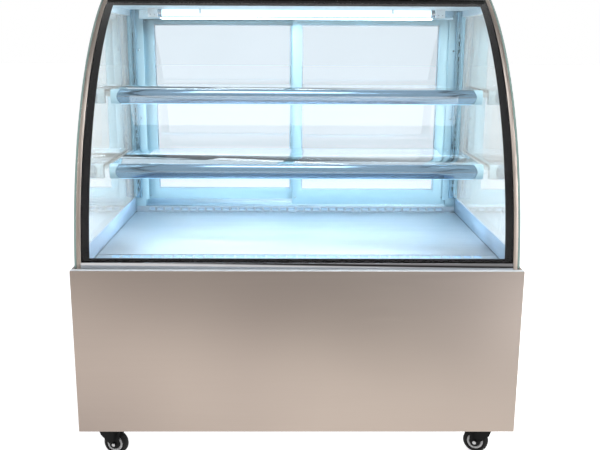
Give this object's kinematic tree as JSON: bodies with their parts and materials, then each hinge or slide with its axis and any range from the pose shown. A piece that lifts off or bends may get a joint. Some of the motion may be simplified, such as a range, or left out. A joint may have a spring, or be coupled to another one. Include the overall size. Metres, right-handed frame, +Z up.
{
  "type": "glass display showcase",
  "caption": "Refrigerated display showcase with a curved glass front, lit glass shelves, sliding rear doors and a wheeled steel base.",
  "frame": {"origin": "on the floor under the middle of the cabinet", "axes": "+Z up, -Y towards the customer side with the curved glass, +Y towards the sliding doors"},
  "size_m": [1.2, 0.812, 1.29],
  "materials": {
    "steel_satin": "satin brushed stainless cladding",
    "steel_bright": "polished stainless strip",
    "galvanised": "galvanised sheet",
    "frame_paint": "black powder coat",
    "black_plastic": "moulded black plastic",
    "grey_plastic": "moulded grey plastic",
    "white_plastic": "moulded white plastic",
    "green_plastic": "translucent green rocker",
    "red_plastic": "translucent red rocker",
    "compressor_paint": "black stove enamel",
    "fin_metal": "pressed aluminium fins",
    "copper": "copper pipe",
    "liner_white": "white coated sheet",
    "foam_tub": "foam-filled tub",
    "deck_steel": "satin stainless deck",
    "anodised": "satin anodised",
    "clear_glass": "tempered clear glass",
    "door_glass": "double-glazed clear glass",
    "spacer": "glazing spacer bar",
    "lens": "clear acrylic light cover",
    "tube": "frosted light tube",
    "caster_steel": "zinc-plated steel",
    "caster_black": "black coated steel",
    "tyre": "black tread on a grey core",
    "pedal_red": "moulded pedal",
    "zinc": "zinc-plated fasteners"
  },
  "bodies": {
    "cabinet": {"floor_pan": "galvanised", "base_frame": "frame_paint", "front_panel": "steel_satin", "side_panels": "steel_satin", "rear_vent_panel": "steel_satin", "control_panel": "galvanised", "thermostat": "black_plastic", "switch_housings": "black_plastic", "power_inlet": "black_plastic", "compressor": "compressor_paint", "condenser_coil": "fin_metal", "condenser_shroud": "frame_paint", "fan_motors": "frame_paint", "drip_tray": "white_plastic", "refrigerant_pipes": "copper", "deck_tub": "foam_tub", "evaporator_coil": "fin_metal", "deck_plate": "deck_steel", "air_grilles": "deck_steel", "side_ledges": "liner_white", "front_glass": "clear_glass", "side_glass": "clear_glass", "glass_spacers": "spacer", "edge_trims": "steel_satin", "glass_channels": "steel_bright", "roof": "steel_satin", "ceiling_liner": "liner_white", "led_tube": "tube", "led_holders": "white_plastic", "rear_jambs": "anodised", "door_tracks": "anodised", "shelf_pilasters": "deck_steel", "shelf_brackets": "deck_steel", "shelf_glasses": "clear_glass", "shelf_light_rails": "anodised", "shelf_light_lenses": "lens", "caster_plates": "caster_steel", "screws": "zinc"},
    "front_left_caster": {"front_left_fork": "caster_black"},
    "front_left_roller": {"front_left_wheel": "tyre"},
    "front_right_caster": {"front_right_fork": "caster_black"},
    "front_right_roller": {"front_right_wheel": "tyre"},
    "rear_left_caster": {"rear_left_fork": "caster_black"},
    "rear_left_roller": {"rear_left_wheel": "tyre"},
    "rear_left_pedal": {"rear_left_brake": "pedal_red"},
    "rear_right_caster": {"rear_right_fork": "caster_black"},
    "rear_right_roller": {"rear_right_wheel": "tyre"},
    "rear_right_pedal": {"rear_right_brake": "pedal_red"},
    "left_door": {"left_door_frame": "anodised", "left_door_glass": "door_glass"},
    "right_door": {"right_door_frame": "anodised", "right_door_glass": "door_glass"},
    "condenser_blower": {"condenser_fan": "white_plastic"},
    "left_cooling_blower": {"left_cooling_fan": "white_plastic"},
    "right_cooling_blower": {"right_cooling_fan": "white_plastic"},
    "set_key": {"set_button": "grey_plastic"},
    "up_key": {"up_button": "grey_plastic"},
    "down_key": {"down_button": "grey_plastic"},
    "light_rocker": {"light_switch": "green_plastic"},
    "power_rocker": {"power_switch": "red_plastic"}
  },
  "joints": [
    {"name": "front_left_swivel", "type": "hinge", "parent": "cabinet", "child": "front_left_caster", "pos_m": [-0.53, -0.353, 0.08], "axis": [0, 0, 1], "continuous": true},
    {"name": "front_left_spin", "type": "hinge", "parent": "front_left_caster", "child": "front_left_roller", "pos_m": [-0.50946, -0.35737, 0.035], "axis": [0.2079, 0.9781, 0], "continuous": true},
    {"name": "front_right_swivel", "type": "hinge", "parent": "cabinet", "child": "front_right_caster", "pos_m": [0.53, -0.353, 0.08], "axis": [0, 0, 1], "continuous": true},
    {"name": "front_right_spin", "type": "hinge", "parent": "front_right_caster", "child": "front_right_roller", "pos_m": [0.51067, -0.3448, 0.035], "axis": [-0.3907, -0.9205, 0], "continuous": true},
    {"name": "rear_left_swivel", "type": "hinge", "parent": "cabinet", "child": "rear_left_caster", "pos_m": [-0.53, 0.353, 0.08], "axis": [0, 0, 1], "continuous": true},
    {"name": "rear_left_spin", "type": "hinge", "parent": "rear_left_caster", "child": "rear_left_roller", "pos_m": [-0.51146, 0.36286, 0.035], "axis": [-0.4695, 0.8829, 0], "continuous": true},
    {"name": "rear_left_brake_press", "type": "hinge", "parent": "rear_left_caster", "child": "rear_left_pedal", "pos_m": [-0.5044, 0.36662, 0.074], "axis": [-0.4695, 0.8829, 0], "range_deg": [0, 8]},
    {"name": "rear_right_swivel", "type": "hinge", "parent": "cabinet", "child": "rear_right_caster", "pos_m": [0.53, 0.353, 0.08], "axis": [0, 0, 1], "continuous": true},
    {"name": "rear_right_spin", "type": "hinge", "parent": "rear_right_caster", "child": "rear_right_roller", "pos_m": [0.51097, 0.36188, 0.035], "axis": [-0.4226, -0.9063, 0], "continuous": true},
    {"name": "rear_right_brake_press", "type": "hinge", "parent": "rear_right_caster", "child": "rear_right_pedal", "pos_m": [0.50372, 0.36526, 0.074], "axis": [-0.4226, -0.9063, 0], "range_deg": [0, 8]},
    {"name": "left_door_slide", "type": "slide", "parent": "cabinet", "child": "left_door", "axis": [1, 0, 0], "range_m": [0, 0.5]},
    {"name": "right_door_slide", "type": "slide", "parent": "cabinet", "child": "right_door", "axis": [1, 0, 0], "range_m": [-0.5, 0]},
    {"name": "condenser_fan_spin", "type": "hinge", "parent": "cabinet", "child": "condenser_blower", "pos_m": [0.21, 0.263, 0.212], "axis": [0, 1, 0], "continuous": true},
    {"name": "left_cooling_fan_spin", "type": "hinge", "parent": "cabinet", "child": "left_cooling_blower", "pos_m": [-0.26, 0.097, 0.503], "axis": [0, 1, 0], "continuous": true},
    {"name": "right_cooling_fan_spin", "type": "hinge", "parent": "cabinet", "child": "right_cooling_blower", "pos_m": [0.26, 0.097, 0.503], "axis": [0, 1, 0], "continuous": true},
    {"name": "set_button_press", "type": "slide", "parent": "cabinet", "child": "set_key", "axis": [0, -1, 0], "range_m": [0, 0.0008], "stiffness_N_per_m": 600, "springref_m": -0.0005},
    {"name": "up_button_press", "type": "slide", "parent": "cabinet", "child": "up_key", "axis": [0, -1, 0], "range_m": [0, 0.0008], "stiffness_N_per_m": 600, "springref_m": -0.0005},
    {"name": "down_button_press", "type": "slide", "parent": "cabinet", "child": "down_key", "axis": [0, -1, 0], "range_m": [0, 0.0008], "stiffness_N_per_m": 600, "springref_m": -0.0005},
    {"name": "light_switch_rock", "type": "hinge", "parent": "cabinet", "child": "light_rocker", "pos_m": [0.32, 0.392, 0.474], "axis": [1, 0, 0], "range_deg": [-18, 0]},
    {"name": "power_switch_rock", "type": "hinge", "parent": "cabinet", "child": "power_rocker", "pos_m": [0.352, 0.392, 0.474], "axis": [1, 0, 0], "range_deg": [-18, 0]}
  ]
}
